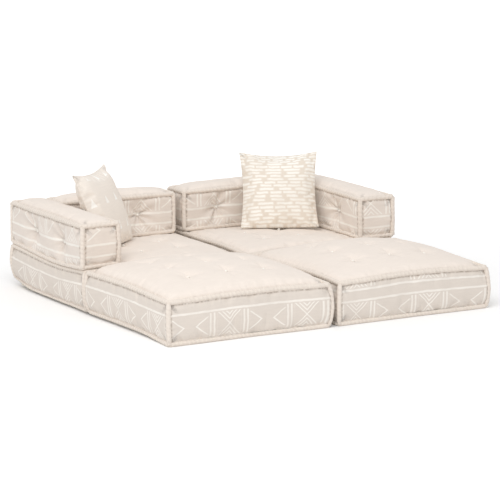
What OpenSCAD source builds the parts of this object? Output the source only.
/* [Base mattresses] */
// Width and length of a base mattress between its side faces
mattress_side = 882; // [700:1:1100]
// Height of a base mattress up to the seam of its top
mattress_height = 226; // [160:1:280]
// Rise of a front mattress's crown above its rolled edges
front_crown = 72; // [8:1:90]
// Rise of a rear mattress's crown in the seat, between the bolsters
seat_crown = 22; // [6:1:34]
// Gap between the left pair and the right pair of mattresses
pair_gap = 45; // [10:1:120]
// Gap between the front row and the rear row
row_gap = 15; // [5:1:60]

/* [Bolsters] */
// Width of a bolster between its side faces
bolster_width = 182; // [140:1:240]
// Height of a bolster up to the seam of its top
bolster_height = 219; // [160:1:280]
// Rise of a bolster's crown above its rolled edges
bolster_crown = 18; // [3:1:25]
// Gap between the end of an arm bolster and the back bolster behind it
bolster_gap = 4; // [1:0.5:20]
// Gap that keeps one resting cushion clear of the next
rest_gap = 0.3; // [0.2:0.1:1]

/* [Rolled edges] */
// Diameter of the stitched roll along every edge
roll_d = 22; // [16:1:28]
// Depth of a roll's centre inside the faces that it joins
roll_sink = 2; // [1:0.5:4]
// Gap of the sewn joint between two rolls that meet in a corner
mitre_gap = 0.3; // [0.2:0.1:1]
// Height of the bottom rolls above the surface that the cushion lies on
roll_lift = 0.2; // [0.1:0.1:1]
// Clearance between a roll or tuft and the cloth that it is stitched to
stitch_gap = 0.2; // [0.15:0.05:0.5]

/* [Covers and filling] */
// Distance that the middle of a mattress edge is drawn in between its corners
mattress_draw = 6; // [5:0.5:14]
// Swell of a mattress side at half its height
mattress_swell = 5; // [0:0.5:5]
// Distance that the middle of a long bolster edge is drawn in
bolster_draw = 4; // [3:0.5:10]
// Distance that the middle of a short bolster edge is drawn in
bolster_end_draw = 2; // [1:0.5:6]
// Swell of a bolster side at half its height
bolster_swell = 1; // [0:0.5:1]
// Thickness of the ticking and its wool layer at the thinnest place
cover_pad = 10; // [6:1:20]
// Clearance between a filling and the cover round it
fill_gap = 0.5; // [0.3:0.1:2]

/* [Tufts] */
// Diameter of a wool tuft
tuft_d = 12; // [8:1:16]
// Depth that a tuft pulls the top of a mattress down
mattress_dimple = 12; // [8:1:22]
// Distance from a mattress tuft at which its dimple has faded
dimple_reach = 36; // [30:1:60]
// Depth that a tuft pulls the side of a bolster in
bolster_pull = 30; // [10:1:34]
// Distance from a bolster tuft at which its hollow has faded
pull_reach = 70; // [40:1:90]
// Diameter of the tie cord that runs through the filling
cord_d = 4; // [2:0.5:6]
// Diameter of the felt stay at the lower end of a mattress tie
stay_d = 20; // [12:1:30]
// Thickness of the felt stay
stay_t = 3; // [2:0.5:5]
// Clearance round a tie cord and a stay in the filling
tie_clearance = 0.4; // [0.2:0.1:0.8]

/* [Throw pillows] */
// Width and height of a throw pillow between its corners
pillow_side = 426; // [380:1:500]
// Half thickness that the filling adds in the middle of a pillow
pillow_puff = 58; // [30:1:80]
// Thickness of a pillow's seamed edge
pillow_edge = 10; // [9:0.5:14]
// Distance that the middle of a pillow's upright edges is drawn in
pillow_side_draw = 10; // [4:1:25]
// Distance that the middle of a pillow's top edge is drawn in
pillow_top_draw = 18; // [6:1:30]
// Margin between the corner of a pillow and the corner of its feather pad
pad_margin = 26; // [20:1:60]
// Thickness of the feather pad at its middle
pad_t = 84; // [50:1:90]

/* [Places of the pillows] */
// Gap between the left pillow's edge and the top roll of the left arm
left_arm_gap = 1; // [1:1:60]
// Gap between the left pillow's top corner and the face of the back
left_back_gap = 1.5; // [1:0.5:60]
// Turn of the left pillow towards the middle of the sofa
left_turn_angle = 41; // [30:1:50]
// Lean of the left pillow back from the vertical
left_lean_angle = 22; // [15:1:25]
// Gap between the right pillow's edge and the top roll of the right arm
right_arm_gap = 26; // [1:1:60]
// Gap between the right pillow's top corner and the face of the back
right_back_gap = 7; // [1:0.5:60]
// Turn of the right pillow towards the middle of the sofa
right_turn_angle = 27; // [20:1:40]
// Lean of the right pillow back from the vertical
right_lean_angle = 23; // [15:1:25]

/* [Zips] */
// Length of a pillow's zip
zip_length = 300; // [200:1:340]
// Width of the zip tape
zip_width = 4; // [3:0.5:5]
// Thickness of the zip tape
tape_t = 1.2; // [0.8:0.1:2]
// Length of the zip slider's body
slider_length = 12; // [8:1:18]
// Height of the zip slider's body
slider_height = 3.2; // [2:0.1:4]
// Length of the zip's pull tab
tab_length = 18; // [10:1:30]
// Thickness of the pull tab
tab_t = 1; // [0.8:0.1:1.5]
// Clearance between the parts of a zip
zip_clearance = 0.3; // [0.2:0.1:0.5]

/* [Hidden] */

// Steps of the cover meshes and facets of the round pieces
mattress_steps = [16, 16];
mattress_rows = 2;
bolster_steps = [13, 2];
bolster_rows = 4;
pillow_steps = 12;
round_facets = 32;
arc_facets = 1440;
crown_power = 0.4;
flat_crown_power = 0.7;
puff_fullness = 0.5;
mattress_tufts = 3;
bolster_tufts = 2;
bolster_margin = 0.8;

// Rolls: the distance that one stands out, and the cuts along the cover's edges that it lies in
roll_r = roll_d / 2;
roll_out = roll_r - roll_sink;
roll_seat = (roll_r + stitch_gap) * sqrt(2);
top_cut = roll_seat + 2 * roll_sink;
base_sink = roll_r + roll_lift;
base_cut = roll_seat + roll_sink + base_sink;

// Overall footprints, over the rolls
mattress_span = mattress_side + 2 * roll_out;
bolster_span = bolster_width + 2 * roll_out;
back_length = mattress_span - bolster_span - bolster_gap - 2 * roll_out;

tie_bore = cord_d + 2 * tie_clearance;

mattress_size = [mattress_side, mattress_side, mattress_height];
back_size = [back_length, bolster_width, bolster_height];
arm_size = [mattress_side, bolster_width, bolster_height];
mattress_edge_draw = [mattress_draw, mattress_draw];
bolster_edge_draw = [bolster_draw, bolster_end_draw];

// Places of the right-hand cushions; the left-hand ones mirror them
column_x = (pair_gap + mattress_span) / 2;
row_y = (row_gap + mattress_span) / 2;
bolster_z = mattress_height + roll_out + rest_gap;
back_x = column_x - (bolster_span + bolster_gap) / 2;
back_y = row_y + (mattress_span - bolster_span) / 2;
arm_x = column_x + (mattress_span - bolster_span) / 2;
seat_x = column_x + mattress_span / 2 - bolster_span;
seat_y = row_y + mattress_span / 2 - bolster_span;

// Areas of a top that the crown fills: low corner, high corner, and a power that is lower for a fuller crown
top_half = mattress_side / 2 - top_cut;
top_cell = 2 * top_half / mattress_steps[0];
seat_limit = mattress_span / 2 - bolster_span - top_cell;
front_left_area = [[-top_half, -top_half], [top_half, top_half], crown_power];
front_right_area = [[-top_half, -top_half], [top_half, top_half], flat_crown_power];
seat_area = [[-top_half, -top_half], [seat_limit, seat_limit], crown_power];

cushion_cloth = "#E8DDD0";
bolster_cloth = "#E2D5C6";
pillow_cloth = "#F1E7DC";
roll_cloth = "#DED0C0";
tuft_wool = "#F4EDE2";
filling_foam = "#F5F0DC";
zip_cloth = "#D9CDBD";
zip_metal = "#B9B4AA";

// Lines across a face: both ends, the line beside each that ends the corner cut, and even steps between
function lines(half, cut, steps) = concat(
    [-half, -half + cut],
    [for (i = [1 : steps - 1]) -half + 2 * half * i / steps],
    [half - cut, half]);

// Inward bow of an edge, with a little more so that its straight steps stay clear of the roll's arc
function bow(t, full, steps, draw) = draw * (max(0, 1 - pow(t / (full - roll_sink), 2)) + pow(1 / steps, 2));

// Grid places round the rim of a face, anticlockwise from above
function rim(mx, my) = concat(
    [for (i = [0 : mx - 1]) [i, 0]],
    [for (j = [0 : my - 1]) [mx, j]],
    [for (i = [mx : -1 : 1]) [i, my]],
    [for (j = [my : -1 : 1]) [0, j]]);

function rim_index(i, j, mx, my) =
    j == 0 ? i
    : i == mx ? mx + j
    : j == my ? 2 * mx + my - i
    : 2 * (mx + my) - j;

// One place of the rim of an inset ring, with its corner cut and the bowed edges of the full outline
function rim_point(place, half, full, steps, draw) =
    let (
        x = lines(half[0], top_cut, steps[0])[place[0]],
        y = lines(half[1], top_cut, steps[1])[place[1]],
        at_end_x = abs(x) >= half[0],
        at_end_y = abs(y) >= half[1])
    at_end_x && at_end_y ? [x - sign(x) * top_cut / 2, y - sign(y) * top_cut / 2]
    : at_end_y ? [x, y - sign(y) * bow(x, full[0], steps[0], draw[0])]
    : [x - sign(x) * bow(y, full[1], steps[1], draw[1]), y];

// Distance that side tufts pull a long side in, at one place along it and height
function side_pull(x, z, height, tufts, length) =
    let (
        low = base_cut,
        high = height - top_cut,
        t = (z - low) / (high - low))
    t <= 0 || t >= 1 || tufts == 0 ? 0
    : bolster_pull * pow(sin(180 * t), 2)
        * add([for (p = tuft_line(tufts, length / 2, bolster_margin)) exp(-pow((x - p) / pull_reach, 2))]);

function add(values, i = 0) = i >= len(values) ? 0 : values[i] + add(values, i + 1);

// Even places of tufts along a length; margin is the space at each end, as a share of that between two tufts
function tuft_line(tufts, half, margin = 1) =
    [for (k = [1 : tufts]) -half + 2 * half * (k - 1 + margin) / (tufts - 1 + 2 * margin)];

function tuft_places(tufts, half) =
    [for (x = tuft_line(tufts, half)) for (y = tuft_line(tufts, half)) [x, y]];

// Share of the crown at one place of its area
function dome(x, y, area) =
    let (
        u = (x - area[0][0]) / (area[1][0] - area[0][0]),
        v = (y - area[0][1]) / (area[1][1] - area[0][1]))
    u <= 0 || u >= 1 || v <= 0 || v >= 1 ? 0 : pow(sin(180 * u) * sin(180 * v), area[2]);

// Depth of the dimples of the tufts at one place
function dimples(x, y, places) =
    mattress_dimple * add([for (p = places) exp(-pow(norm([x, y] - p) / dimple_reach, 2))]);

// Height of a cushion's top: it climbs beside the rolls to their level, then swells and dips
function top_z(x, y, size, crown, area, places) =
    let (
        inside = min(size[0] / 2 - top_cut - abs(x), size[1] / 2 - top_cut - abs(y)),
        climb = max(0, min(1, inside / top_cut)))
    size[2] + roll_out * climb + crown * dome(x, y, area) - dimples(x, y, places);

// Rings of a cover from the base up, each with its height, inset and bowed edges
function levels(size, draw, swell, rows) = concat(
    [[0, base_cut, draw]],
    [for (k = [0 : rows])
        let (t = k / rows, swollen = swell * sin(180 * t))
        [base_cut + (size[2] - top_cut - base_cut) * t, 0, [draw[0] - swollen, draw[1] - swollen]]],
    [[size[2], top_cut, draw]]);

function ring_points(level, size, steps, tufts) =
    [for (place = rim(steps[0] + 2, steps[1] + 2))
        let (
            full = [size[0] / 2, size[1] / 2],
            half = [full[0] - level[1], full[1] - level[1]],
            p = rim_point(place, half, full, steps, level[2]),
            on_side = place[1] == 0 || place[1] == steps[1] + 2,
            pull = on_side ? side_pull(p[0], level[0], size[2], tufts, size[0]) : 0)
        [p[0], p[1] - sign(p[1]) * pull, level[0]]];

function cap_points(size, steps, crown, area, places) =
    let (
        xs = lines(size[0] / 2 - top_cut, top_cut, steps[0]),
        ys = lines(size[1] / 2 - top_cut, top_cut, steps[1]))
    [for (i = [1 : steps[0] + 1]) for (j = [1 : steps[1] + 1])
        [xs[i], ys[j], top_z(xs[i], ys[j], size, crown, area, places)]];

function cap_index(i, j, mx, my, rings) =
    i == 0 || j == 0 || i == mx || j == my ? (rings - 1) * 2 * (mx + my) + rim_index(i, j, mx, my)
    : rings * 2 * (mx + my) + (i - 1) * (my - 1) + j - 1;

// Two triangles of a quad, cut along the diagonal that keeps all four quarters alike
function split(a, b, c, d, first) = first ? [[a, b, c], [a, c, d]] : [[a, b, d], [b, c, d]];

function cover_faces(steps, rings) =
    let (
        mx = steps[0] + 2,
        my = steps[1] + 2,
        rim_count = 2 * (mx + my),
        base_point = rings * rim_count + (mx - 1) * (my - 1))
    concat(
        [for (k = [0 : rim_count - 1]) [base_point, k, (k + 1) % rim_count]],
        [for (r = [0 : rings - 2]) for (k = [0 : rim_count - 1])
            let (
                low = r * rim_count + k,
                next = r * rim_count + (k + 1) % rim_count)
            each split(low, low + rim_count, next + rim_count, next, true)],
        [for (i = [0 : mx - 1]) for (j = [0 : my - 1])
            each split(
                cap_index(i, j, mx, my, rings),
                cap_index(i, j + 1, mx, my, rings),
                cap_index(i + 1, j + 1, mx, my, rings),
                cap_index(i + 1, j, mx, my, rings),
                (i < mx / 2) == (j < my / 2))]);

// Outer form of a sewn cushion: flat base, bowed edges, swollen or tufted sides and a crowned top
module cushion_form(size, steps, draw, swell, rows, crown, area, places, tufts) {
    rings = levels(size, draw, swell, rows);
    points = concat(
        [for (level = rings) each ring_points(level, size, steps, tufts)],
        cap_points(size, steps, crown, area, places),
        [[0, 0, 0]]);
    polyhedron(points = points, faces = cover_faces(steps, len(rings)));
}

// Inside of a cover, whose distance from each face leaves room for the cuts, the bows and the tufts
function inside_inset(draw, pull) = [base_cut + draw[1], max(base_cut + draw[0], pull + cover_pad)];
function inside_size(size, draw, pull) =
    let (inset = inside_inset(draw, pull))
    [size[0] - 2 * inset[0], size[1] - 2 * inset[1], size[2] - 2 * cover_pad - mattress_dimple / 2];

module cushion_inside(size, draw, pull, gap) {
    room = inside_size(size, draw, pull);
    translate([-room[0] / 2 + gap, -room[1] / 2 + gap, cover_pad + gap])
        cube([room[0] - 2 * gap, room[1] - 2 * gap, room[2] - 2 * gap]);
}

// A roll along one edge, bowed to the same arc as the cover and mitred at both corners
module mitred_roll(half, draw) {
    bend = (half * half + draw * draw) / (2 * draw);
    sweep = asin((half + roll_d) / bend);
    end = half - mitre_gap;
    wide = roll_d + draw;
    intersection() {
        translate([0, draw - bend, 0])
            rotate([0, 0, 90 - sweep])
                rotate_extrude(angle = 2 * sweep, $fn = arc_facets)
                    translate([bend, 0])
                        circle(r = roll_r, $fn = round_facets);
        linear_extrude(height = 2 * roll_d, center = true)
            polygon([[-end - wide, -wide], [end + wide, -wide], [end - wide, wide], [-end + wide, wide]]);
    }
}

// The rolls of one cushion: four round its top, four round its base and one up each corner
module edge_rolls(size, draw) {
    reach = [size[0] / 2 - roll_sink, size[1] / 2 - roll_sink];
    top_level = size[2] - roll_sink;
    post_low = base_sink + roll_r + mitre_gap;
    for (z = [base_sink, top_level]) {
        for (turn = [0, 180])
            rotate([0, 0, turn])
                translate([0, -reach[1], z])
                    mitred_roll(reach[0], draw[0]);
        for (turn = [90, 270])
            rotate([0, 0, turn])
                translate([0, -reach[0], z])
                    mitred_roll(reach[1], draw[1]);
    }
    for (x = [-reach[0], reach[0]])
        for (y = [-reach[1], reach[1]])
            translate([x, y, post_low])
                cylinder(h = top_level - roll_r - mitre_gap - post_low, r = roll_r, $fn = round_facets);
}

module mattress_rolls() {
    edge_rolls(mattress_size, mattress_edge_draw);
}

// Height of a tuft's centre above its pit, so that it rests on the pit's sloping sides
function tuft_lift(slope) = (tuft_d / 2 + stitch_gap) * sqrt(1 + slope * slope);

// Steepest rise from a tuft's pit to the places beside it
function pit_slope(p, size, crown, area, places) =
    let (
        pit = top_z(p[0], p[1], size, crown, area, places),
        rises = [for (step = [[1, 0], [-1, 0], [0, 1], [0, -1]])
            let (q = p + top_cell * step)
            (top_z(q[0], q[1], size, crown, area, places) - pit) / top_cell])
    sqrt(2) * max(rises);

module mattress_cover(crown, area) {
    difference() {
        cushion_form(mattress_size, mattress_steps, mattress_edge_draw, mattress_swell, mattress_rows,
            crown, area, tuft_places(mattress_tufts, top_half), 0);
        cushion_inside(mattress_size, mattress_edge_draw, 0, 0);
    }
}

module mattress_core() {
    difference() {
        cushion_inside(mattress_size, mattress_edge_draw, 0, fill_gap);
        for (p = tuft_places(mattress_tufts, top_half)) {
            translate([p[0], p[1], 0])
                cylinder(h = mattress_height, d = tie_bore, $fn = round_facets);
            translate([p[0], p[1], 0])
                cylinder(h = cover_pad + fill_gap + stay_t + tie_clearance,
                    d = stay_d + 2 * tie_clearance, $fn = round_facets);
        }
    }
}

// Wool tufts in the dimples of the top, and inside the filling their cords, each with a felt stay
module mattress_ties(crown, area) {
    places = tuft_places(mattress_tufts, top_half);
    room = inside_size(mattress_size, mattress_edge_draw, 0);
    for (p = places) {
        pit = top_z(p[0], p[1], mattress_size, crown, area, places);
        translate([p[0], p[1], pit + tuft_lift(pit_slope(p, mattress_size, crown, area, places))])
            sphere(d = tuft_d, $fn = round_facets);
        translate([p[0], p[1], cover_pad + fill_gap]) {
            cylinder(h = room[2] - 2 * fill_gap, d = cord_d, $fn = round_facets);
            cylinder(h = stay_t, d = stay_d, $fn = round_facets);
        }
    }
}

module bolster_cover(size, tufts) {
    top_area = [
        [top_cut - size[0] / 2, top_cut - size[1] / 2],
        [size[0] / 2 - top_cut, size[1] / 2 - top_cut],
        crown_power];
    difference() {
        cushion_form(size, bolster_steps, bolster_edge_draw, bolster_swell, bolster_rows,
            bolster_crown, top_area, [], tufts);
        cushion_inside(size, bolster_edge_draw, bolster_pull, 0);
    }
}

// Height of the side tufts of a bolster, half way up its side
tie_z = (base_cut + bolster_height - top_cut) / 2;

module bolster_core(size, tufts) {
    difference() {
        cushion_inside(size, bolster_edge_draw, bolster_pull, fill_gap);
        for (x = tuft_line(tufts, size[0] / 2, bolster_margin))
            translate([x, 0, tie_z])
                rotate([90, 0, 0])
                    cylinder(h = bolster_width, d = tie_bore, center = true, $fn = round_facets);
    }
}

// Wool tufts in the hollows of both long sides, with a cord between them through the filling
module bolster_ties(size, tufts) {
    room = inside_size(size, bolster_edge_draw, bolster_pull);
    cell = size[0] / bolster_steps[0];
    band = (bolster_height - top_cut - base_cut) / bolster_rows;
    for (x = tuft_line(tufts, size[0] / 2, bolster_margin)) {
        pull = side_pull(x, tie_z, bolster_height, tufts, size[0]);
        rise_x = (pull - side_pull(x + cell, tie_z, bolster_height, tufts, size[0])) / cell;
        rise_z = (pull - side_pull(x, tie_z + band, bolster_height, tufts, size[0])) / band;
        pit = bolster_width / 2 - pull - bow(x, size[0] / 2, bolster_steps[0], bolster_draw - bolster_swell);
        for (side = [-1, 1])
            translate([x, side * (pit + tuft_lift(norm([rise_x, rise_z]))), tie_z])
                sphere(d = tuft_d, $fn = round_facets);
        translate([x, 0, tie_z])
            rotate([90, 0, 0])
                cylinder(h = room[1] - 2 * fill_gap, d = cord_d, center = true, $fn = round_facets);
    }
}

// Places of the cushions in the sofa; side is 1 for the right half and -1 for the left half
module place_front(side) {
    translate([side * column_x, -row_y, 0])
        children();
}

module place_rear(side) {
    mirror([side < 0 ? 1 : 0, 0, 0])
        translate([column_x, row_y, 0])
            children();
}

module place_back(side) {
    translate([side * back_x, back_y, bolster_z])
        children();
}

module place_arm(side) {
    translate([side * arm_x, row_y, bolster_z])
        rotate([0, 0, 90])
            children();
}

// Throw pillow in its own frame: it stands on its bottom edge, facing -Y
function pillow_half_t(u, v) = pillow_edge / 2 + pillow_puff * pow((1 - u * u) * (1 - v * v), puff_fullness);

function pillow_point(u, v, face) =
    let (
        half = pillow_side / 2,
        x = u * (half - pillow_side_draw * (1 - v * v)),
        z = v > 0 ? v * (half - pillow_top_draw * (1 - u * u)) : v * half)
    [x, face * pillow_half_t(u, v), half + z];

module pillow_form() {
    n = pillow_steps;
    row = n + 1;
    points = [for (face = [-1, 1]) for (i = [0 : n]) for (j = [0 : n])
        pillow_point(2 * i / n - 1, 2 * j / n - 1, face)];
    back = row * row;
    faces = concat(
        [for (i = [0 : n - 1]) for (j = [0 : n - 1])
            each split(i * row + j, i * row + j + 1, (i + 1) * row + j + 1, (i + 1) * row + j,
                (i < n / 2) == (j < n / 2))],
        [for (i = [0 : n - 1]) for (j = [0 : n - 1])
            each split(back + i * row + j, back + (i + 1) * row + j, back + (i + 1) * row + j + 1,
                back + i * row + j + 1, (i < n / 2) == (j < n / 2))],
        [for (k = [0 : 4 * n - 1])
            let (
                loop = rim(n, n),
                a = loop[k][0] * row + loop[k][1],
                b = loop[(k + 1) % (4 * n)][0] * row + loop[(k + 1) % (4 * n)][1])
            each split(a, b, back + b, back + a, true)]);
    polyhedron(points = points, faces = faces);
}

// A long vault, thickest along its middle line
module vault(half, half_t, length) {
    bend = (half * half + half_t * half_t) / (2 * half_t);
    intersection() {
        translate([0, bend - half_t, 0])
            cylinder(h = length, r = bend, center = true, $fn = arc_facets);
        translate([0, half_t - bend, 0])
            cylinder(h = length, r = bend, center = true, $fn = arc_facets);
    }
}

// Square feather pad: two crossed vaults
module pad_form(gap) {
    half = pillow_side / 2 - pad_margin - gap;
    half_t = pad_t / 2 - gap;
    translate([0, 0, pillow_side / 2])
        intersection() {
            vault(half, half_t, pillow_side);
            rotate([0, 90, 0])
                vault(half, half_t, pillow_side);
        }
}

cut_through = 1;
groove_width = zip_width + 2 * zip_clearance;
tape_low = tab_t + slider_height + 2 * zip_clearance;
groove_depth = tape_low + tape_t + zip_clearance;
slider_x = -zip_length / 2 + tab_length + slider_length / 2;

module pillow_cover() {
    difference() {
        pillow_form();
        pad_form(0);
        translate([-zip_length / 2 - zip_clearance, -groove_width / 2, -cut_through])
            cube([zip_length + 2 * zip_clearance, groove_width, groove_depth + cut_through]);
    }
}

module pillow_pad() {
    pad_form(fill_gap);
}

module zip_tape() {
    translate([-zip_length / 2, -zip_width / 2, tape_low])
        cube([zip_length, zip_width, tape_t]);
}

module zip_slider() {
    translate([slider_x - slider_length / 2, -zip_width / 2, zip_clearance + tab_t])
        cube([slider_length, zip_width, slider_height]);
    translate([slider_x - slider_length / 2 - tab_length, -zip_width / 2 + zip_clearance, zip_clearance])
        cube([tab_length + slider_length / 2, zip_width - 2 * zip_clearance, tab_t + zip_clearance]);
}

// Highest place of the seat under a pillow's foot, in the frame of the right rear mattress
function seat_under(foot, turn) =
    max([for (t = [-0.5 : 0.05 : 0.5])
        let (
            x = foot[0] + t * pillow_side * cos(turn) - column_x,
            y = foot[1] + t * pillow_side * sin(turn) - row_y)
        top_z(x, y, mattress_size, seat_crown, seat_area, tuft_places(mattress_tufts, top_half))]);

// Distance of a pillow's foot from the arm, so that its edge clears the arm's top roll by a gap
function foot_from_arm(gap, turn, lean) =
    let (roll_height = bolster_z + bolster_height - roll_sink - (mattress_height + roll_out + seat_crown))
    (pillow_side / 2 - pillow_side_draw) * cos(turn) + pillow_edge / 2 * sin(turn)
        + roll_height * tan(lean) * sin(turn) + gap;

// Distance of a pillow's foot from the back, so that its top corner stays in front of it by a gap
function foot_from_back(gap, turn, lean) =
    pillow_side / 2 * sin(turn) + (pillow_side * sin(lean) + pillow_edge / 2 * cos(lean)) * cos(turn) + gap;

// Stands a pillow on the right-hand seat, turned towards the middle and leaning back
module stand_pillow(arm_gap, back_gap, turn, lean) {
    foot = [seat_x - foot_from_arm(arm_gap, turn, lean), seat_y - foot_from_back(back_gap, turn, lean)];
    level = seat_under(foot, -turn) + rest_gap + pillow_edge / 2 * sin(lean);
    translate([foot[0], foot[1], level])
        rotate([0, 0, -turn])
            rotate([-lean, 0, 0])
                children();
}

module place_pillow_left() {
    mirror([1, 0, 0])
        stand_pillow(left_arm_gap, left_back_gap, left_turn_angle, left_lean_angle)
            children();
}

module place_pillow_right() {
    stand_pillow(right_arm_gap, right_back_gap, right_turn_angle, right_lean_angle)
        children();
}

// The sub-parts of the sofa
module rear_left_cover() { color(cushion_cloth) place_rear(-1) mattress_cover(seat_crown, seat_area); }
module rear_left_core() { color(filling_foam) place_rear(-1) mattress_core(); }
module rear_left_edge_rolls() { color(roll_cloth) place_rear(-1) mattress_rolls(); }
module rear_left_tufts() { color(tuft_wool) place_rear(-1) mattress_ties(seat_crown, seat_area); }

module rear_right_cover() { color(cushion_cloth) place_rear(1) mattress_cover(seat_crown, seat_area); }
module rear_right_core() { color(filling_foam) place_rear(1) mattress_core(); }
module rear_right_edge_rolls() { color(roll_cloth) place_rear(1) mattress_rolls(); }
module rear_right_tufts() { color(tuft_wool) place_rear(1) mattress_ties(seat_crown, seat_area); }

module front_left_cover() {
    color(cushion_cloth) place_front(-1) mattress_cover(front_crown, front_left_area);
}
module front_left_core() { color(filling_foam) place_front(-1) mattress_core(); }
module front_left_edge_rolls() { color(roll_cloth) place_front(-1) mattress_rolls(); }
module front_left_tufts() { color(tuft_wool) place_front(-1) mattress_ties(front_crown, front_left_area); }

module front_right_cover() {
    color(cushion_cloth) place_front(1) mattress_cover(front_crown, front_right_area);
}
module front_right_core() { color(filling_foam) place_front(1) mattress_core(); }
module front_right_edge_rolls() { color(roll_cloth) place_front(1) mattress_rolls(); }
module front_right_tufts() { color(tuft_wool) place_front(1) mattress_ties(front_crown, front_right_area); }

module back_left_cover() { color(bolster_cloth) place_back(-1) bolster_cover(back_size, bolster_tufts); }
module back_left_core() { color(filling_foam) place_back(-1) bolster_core(back_size, bolster_tufts); }
module back_left_edge_rolls() { color(roll_cloth) place_back(-1) edge_rolls(back_size, bolster_edge_draw); }
module back_left_tufts() { color(tuft_wool) place_back(-1) bolster_ties(back_size, bolster_tufts); }

module back_right_cover() { color(bolster_cloth) place_back(1) bolster_cover(back_size, bolster_tufts); }
module back_right_core() { color(filling_foam) place_back(1) bolster_core(back_size, bolster_tufts); }
module back_right_edge_rolls() { color(roll_cloth) place_back(1) edge_rolls(back_size, bolster_edge_draw); }
module back_right_tufts() { color(tuft_wool) place_back(1) bolster_ties(back_size, bolster_tufts); }

module arm_left_cover() { color(bolster_cloth) place_arm(-1) bolster_cover(arm_size, bolster_tufts); }
module arm_left_core() { color(filling_foam) place_arm(-1) bolster_core(arm_size, bolster_tufts); }
module arm_left_edge_rolls() { color(roll_cloth) place_arm(-1) edge_rolls(arm_size, bolster_edge_draw); }
module arm_left_tufts() { color(tuft_wool) place_arm(-1) bolster_ties(arm_size, bolster_tufts); }

module arm_right_cover() { color(bolster_cloth) place_arm(1) bolster_cover(arm_size, bolster_tufts); }
module arm_right_core() { color(filling_foam) place_arm(1) bolster_core(arm_size, bolster_tufts); }
module arm_right_edge_rolls() { color(roll_cloth) place_arm(1) edge_rolls(arm_size, bolster_edge_draw); }
module arm_right_tufts() { color(tuft_wool) place_arm(1) bolster_ties(arm_size, bolster_tufts); }

module pillow_left_cover() { color(pillow_cloth) place_pillow_left() pillow_cover(); }
module pillow_left_pad() { color(filling_foam) place_pillow_left() pillow_pad(); }
module pillow_left_zip_tape() { color(zip_cloth) place_pillow_left() zip_tape(); }
module pillow_left_zip_slider() { color(zip_metal) place_pillow_left() zip_slider(); }

module pillow_right_cover() { color(pillow_cloth) place_pillow_right() pillow_cover(); }
module pillow_right_pad() { color(filling_foam) place_pillow_right() pillow_pad(); }
module pillow_right_zip_tape() { color(zip_cloth) place_pillow_right() zip_tape(); }
module pillow_right_zip_slider() { color(zip_metal) place_pillow_right() zip_slider(); }

rear_left_cover();
rear_left_core();
rear_left_edge_rolls();
rear_left_tufts();
rear_right_cover();
rear_right_core();
rear_right_edge_rolls();
rear_right_tufts();
front_left_cover();
front_left_core();
front_left_edge_rolls();
front_left_tufts();
front_right_cover();
front_right_core();
front_right_edge_rolls();
front_right_tufts();
back_left_cover();
back_left_core();
back_left_edge_rolls();
back_left_tufts();
back_right_cover();
back_right_core();
back_right_edge_rolls();
back_right_tufts();
arm_left_cover();
arm_left_core();
arm_left_edge_rolls();
arm_left_tufts();
arm_right_cover();
arm_right_core();
arm_right_edge_rolls();
arm_right_tufts();
pillow_left_cover();
pillow_left_pad();
pillow_left_zip_tape();
pillow_left_zip_slider();
pillow_right_cover();
pillow_right_pad();
pillow_right_zip_tape();
pillow_right_zip_slider();
